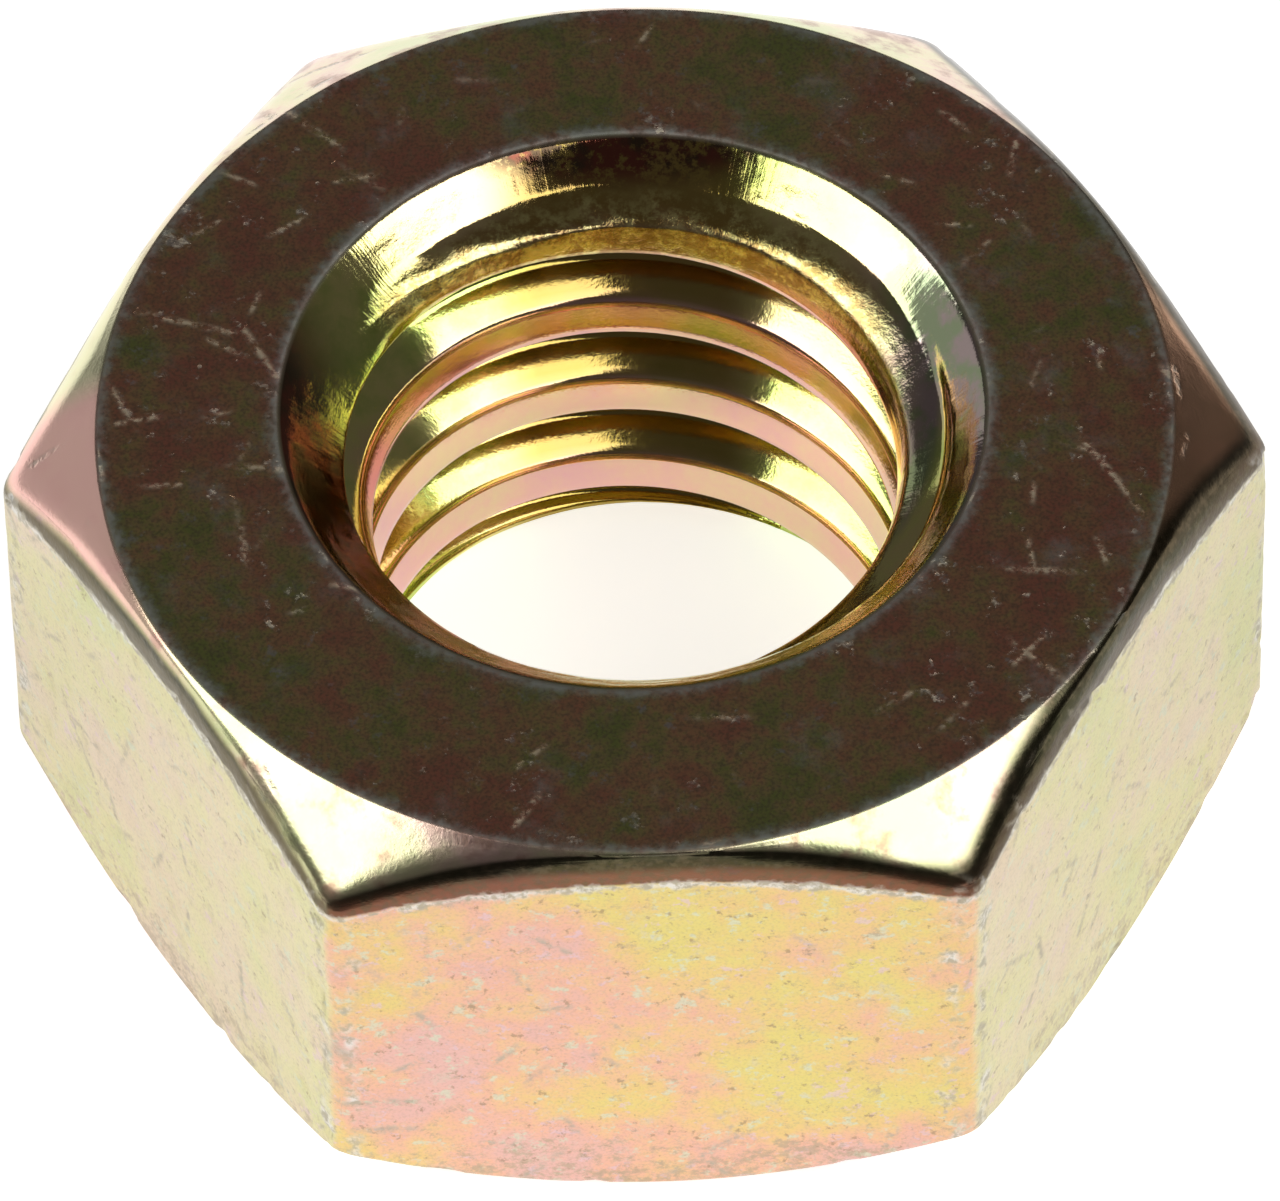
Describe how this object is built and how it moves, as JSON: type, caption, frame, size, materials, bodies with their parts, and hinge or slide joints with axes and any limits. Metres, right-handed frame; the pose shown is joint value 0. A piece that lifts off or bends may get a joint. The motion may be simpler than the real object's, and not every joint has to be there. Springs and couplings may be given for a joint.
{
  "type": "hex nut",
  "caption": "Plain hexagonal nut that screws onto a bolt: chamfered faces, countersunk bore, right-hand coarse thread, yellow chromate zinc-plated steel",
  "frame": {"origin": "centre of the bottom face, on the thread axis", "axes": "+Z along the thread axis towards the top face, +X through a corner, +Y square to a flat"},
  "size_m": [0.0128, 0.011, 0.0055],
  "materials": {
    "plated_steel": "satin"
  },
  "bodies": {
    "root": {"hex_nut": "plated_steel"}
  },
  "joints": []
}
